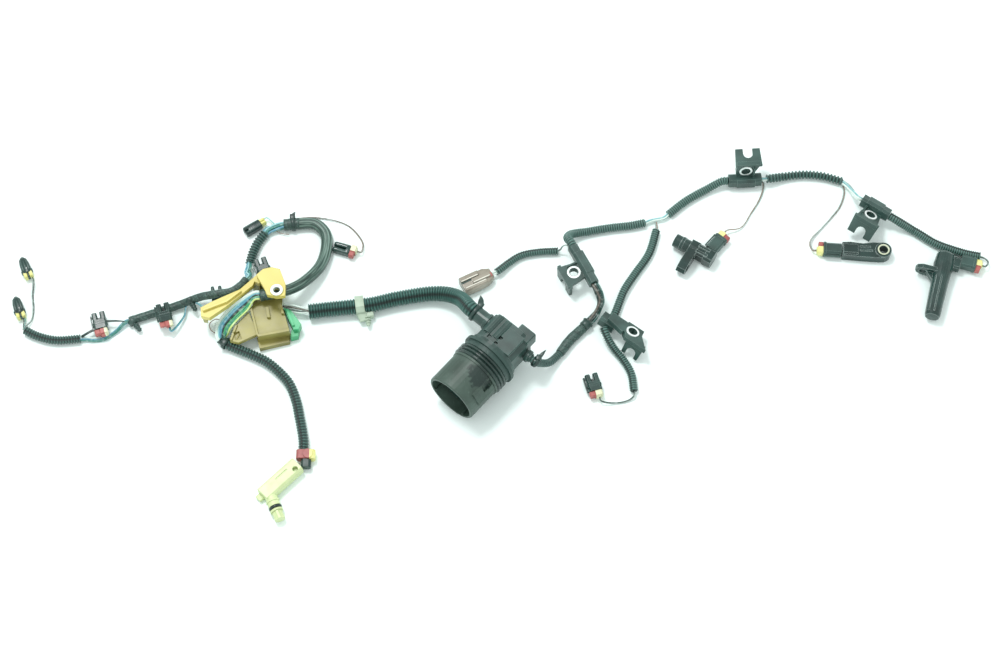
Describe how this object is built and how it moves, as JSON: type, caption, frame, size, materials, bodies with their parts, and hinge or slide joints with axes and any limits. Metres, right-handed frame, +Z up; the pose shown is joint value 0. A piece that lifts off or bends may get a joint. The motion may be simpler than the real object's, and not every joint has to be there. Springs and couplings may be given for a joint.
{
  "type": "gearbox wiring harness",
  "caption": "Laid-out wiring harness with corrugated branches, a round sealed plug, small latching plugs, bolt-on clips and wired sensors.",
  "frame": {"origin": "middle of the laid-out harness, on the surface it lies on", "axes": "+X along the harness from the far left plugs to the far right sensor, +Y across it towards the back, +Z up from the surface"},
  "size_m": [0.9408, 0.3768, 0.0571],
  "materials": {
    "black_plastic": "satin moulded nylon",
    "red_plastic": "satin",
    "yellow_plastic": "satin",
    "brown_plastic": "gloss",
    "rubber": "matt",
    "contact_plastic": "matt",
    "steel": "bright zinc plated",
    "cream_plastic": "satin",
    "tan_plastic": "satin",
    "green_plastic": "satin",
    "beige_plastic": "satin",
    "conduit": "satin corrugated",
    "braid": "woven sleeve",
    "tape": "matt cloth tape",
    "wire": "smooth insulation"
  },
  "bodies": {
    "root": {"plug_far_left_upper": "black_plastic", "plug_far_left_lower": "black_plastic", "plug_left_first": "black_plastic", "lock_left_first": "red_plastic", "plug_left_second": "black_plastic", "lock_left_second": "red_plastic", "plug_left_third": "black_plastic", "plug_upper_left": "black_plastic", "plug_behind_guide": "black_plastic", "plug_loose": "black_plastic", "lock_loose": "yellow_plastic", "plug_lower_right": "black_plastic", "lock_lower_right": "red_plastic", "plug_brown": "brown_plastic", "round_plug": "black_plastic", "round_plug_seal": "rubber", "contact_block": "contact_plastic", "back_shell": "black_plastic", "clip_first": "black_plastic", "bush_first": "steel", "clip_second": "black_plastic", "bush_second": "steel", "clip_third": "black_plastic", "bush_third": "steel", "clip_fourth": "black_plastic", "bush_fourth": "steel", "sensor_short": "black_plastic", "sensor_flat": "black_plastic", "sensor_long": "black_plastic", "sensor_plug_short": "black_plastic", "sensor_lock_short": "yellow_plastic", "sensor_plug_flat": "black_plastic", "sensor_lock_flat": "yellow_plastic", "sensor_plug_long": "black_plastic", "sensor_lock_long": "yellow_plastic", "sensor_cream": "cream_plastic", "sensor_lock_cream": "red_plastic", "wire_guide": "tan_plastic", "guide_lock": "green_plastic", "tube_clamp": "beige_plastic", "tube_far_left": "conduit", "tube_upper_left": "conduit", "sleeve_loop": "braid", "tube_cream_branch": "conduit", "tube_main": "conduit", "taped_trunk": "tape", "tube_brown_branch": "conduit", "tube_outlet": "tape", "tube_upper_right_a": "conduit", "tube_drop_branch": "conduit", "tube_lower_right": "conduit", "tube_upper_right_b": "conduit", "tube_upper_right_c": "conduit", "tube_far_right": "conduit", "wires_far_left": "wire", "wires_loose": "wire", "wires_fan": "wire", "wires_lower_right": "wire", "wires_short": "wire", "wires_flat": "wire"}
  },
  "joints": []
}
